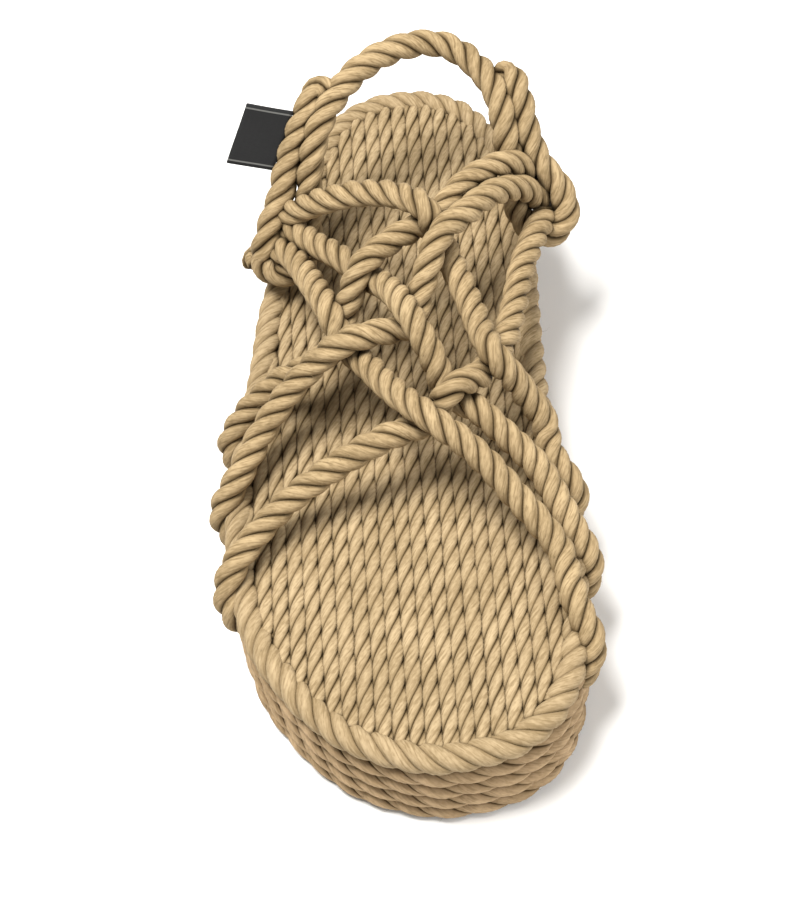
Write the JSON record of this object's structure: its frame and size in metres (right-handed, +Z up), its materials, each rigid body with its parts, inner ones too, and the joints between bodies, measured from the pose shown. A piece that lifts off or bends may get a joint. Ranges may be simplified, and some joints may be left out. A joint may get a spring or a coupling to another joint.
{
  "type": "rope sandal",
  "caption": "Flat platform sandal made of laid rope, with a ribbed rope footbed, woven rope straps over the foot, a rope heel strap and a small woven side tag.",
  "frame": {"origin": "on the underside under the ball of the foot, near the middle of the sole", "axes": "+Z up from the underside, -Y toward the toe, +X toward the inner side of the foot"},
  "size_m": [0.1268, 0.2708, 0.0963],
  "materials": {
    "sole_rope": "laid rope, dry and slightly fibrous, sand beige",
    "core_rope": "laid rope packed tight, sand beige",
    "strap_rope": "laid rope with a soft sheen, sand beige",
    "tag_cloth": "woven tape, matt black"
  },
  "bodies": {
    "root": {"sole_core": "core_rope", "footbed": "sole_rope", "sole_course_1": "sole_rope", "sole_course_2": "sole_rope", "sole_course_3": "sole_rope", "sole_course_4": "sole_rope", "sole_course_5": "sole_rope", "vamp_straps": "strap_rope", "heel_strap": "strap_rope", "woven_tag": "tag_cloth"}
  },
  "joints": []
}
